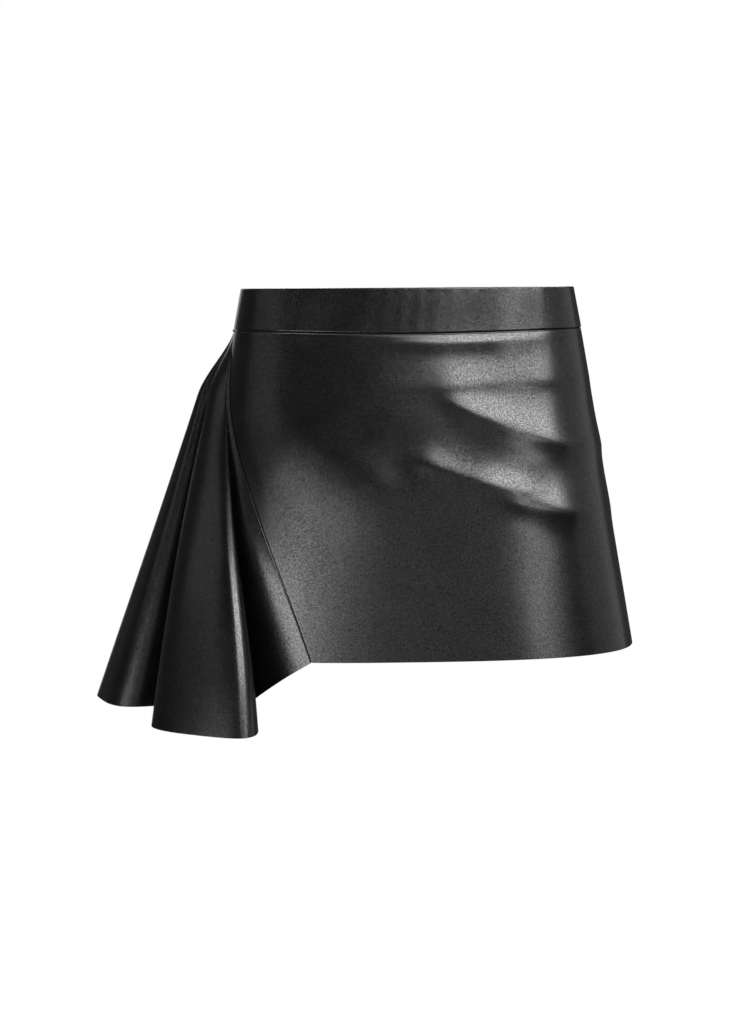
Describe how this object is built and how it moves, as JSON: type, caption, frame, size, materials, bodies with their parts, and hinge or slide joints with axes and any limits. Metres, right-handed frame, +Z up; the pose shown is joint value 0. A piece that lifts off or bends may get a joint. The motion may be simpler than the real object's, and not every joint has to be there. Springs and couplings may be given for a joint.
{
  "type": "leather mini skirt",
  "caption": "Short flared leather skirt with a plain waistband and a folded flounce let into one side, open at waist and hem.",
  "frame": {"origin": "middle of the waistband, where the waist holds the skirt", "axes": "+Z up; the front faces -Y; +X runs to the wearer's left; the flounce is at -X"},
  "size_m": [0.4916, 0.3862, 0.3813],
  "materials": {
    "leather": "semi-gloss fine grain, black, matt flesh side within",
    "zip_tape": "matt woven tape, black",
    "zip_metal": "satin black metal"
  },
  "bodies": {
    "skirt": {"front_panel": "leather", "back_panel_left": "leather", "back_panel_right": "leather", "waistband_front": "leather", "waistband_back_left": "leather", "waistband_back_right": "leather", "flounce": "leather", "zip_tape": "zip_tape", "zip_slider": "zip_metal"},
    "zip_pull_tab": {"zip_pull": "zip_metal"}
  },
  "joints": [
    {"name": "pull_swing", "type": "hinge", "parent": "skirt", "child": "zip_pull_tab", "pos_m": [0, 0.10472, 0.01257], "axis": [1, 0, 0], "range_deg": [0, 170]}
  ]
}
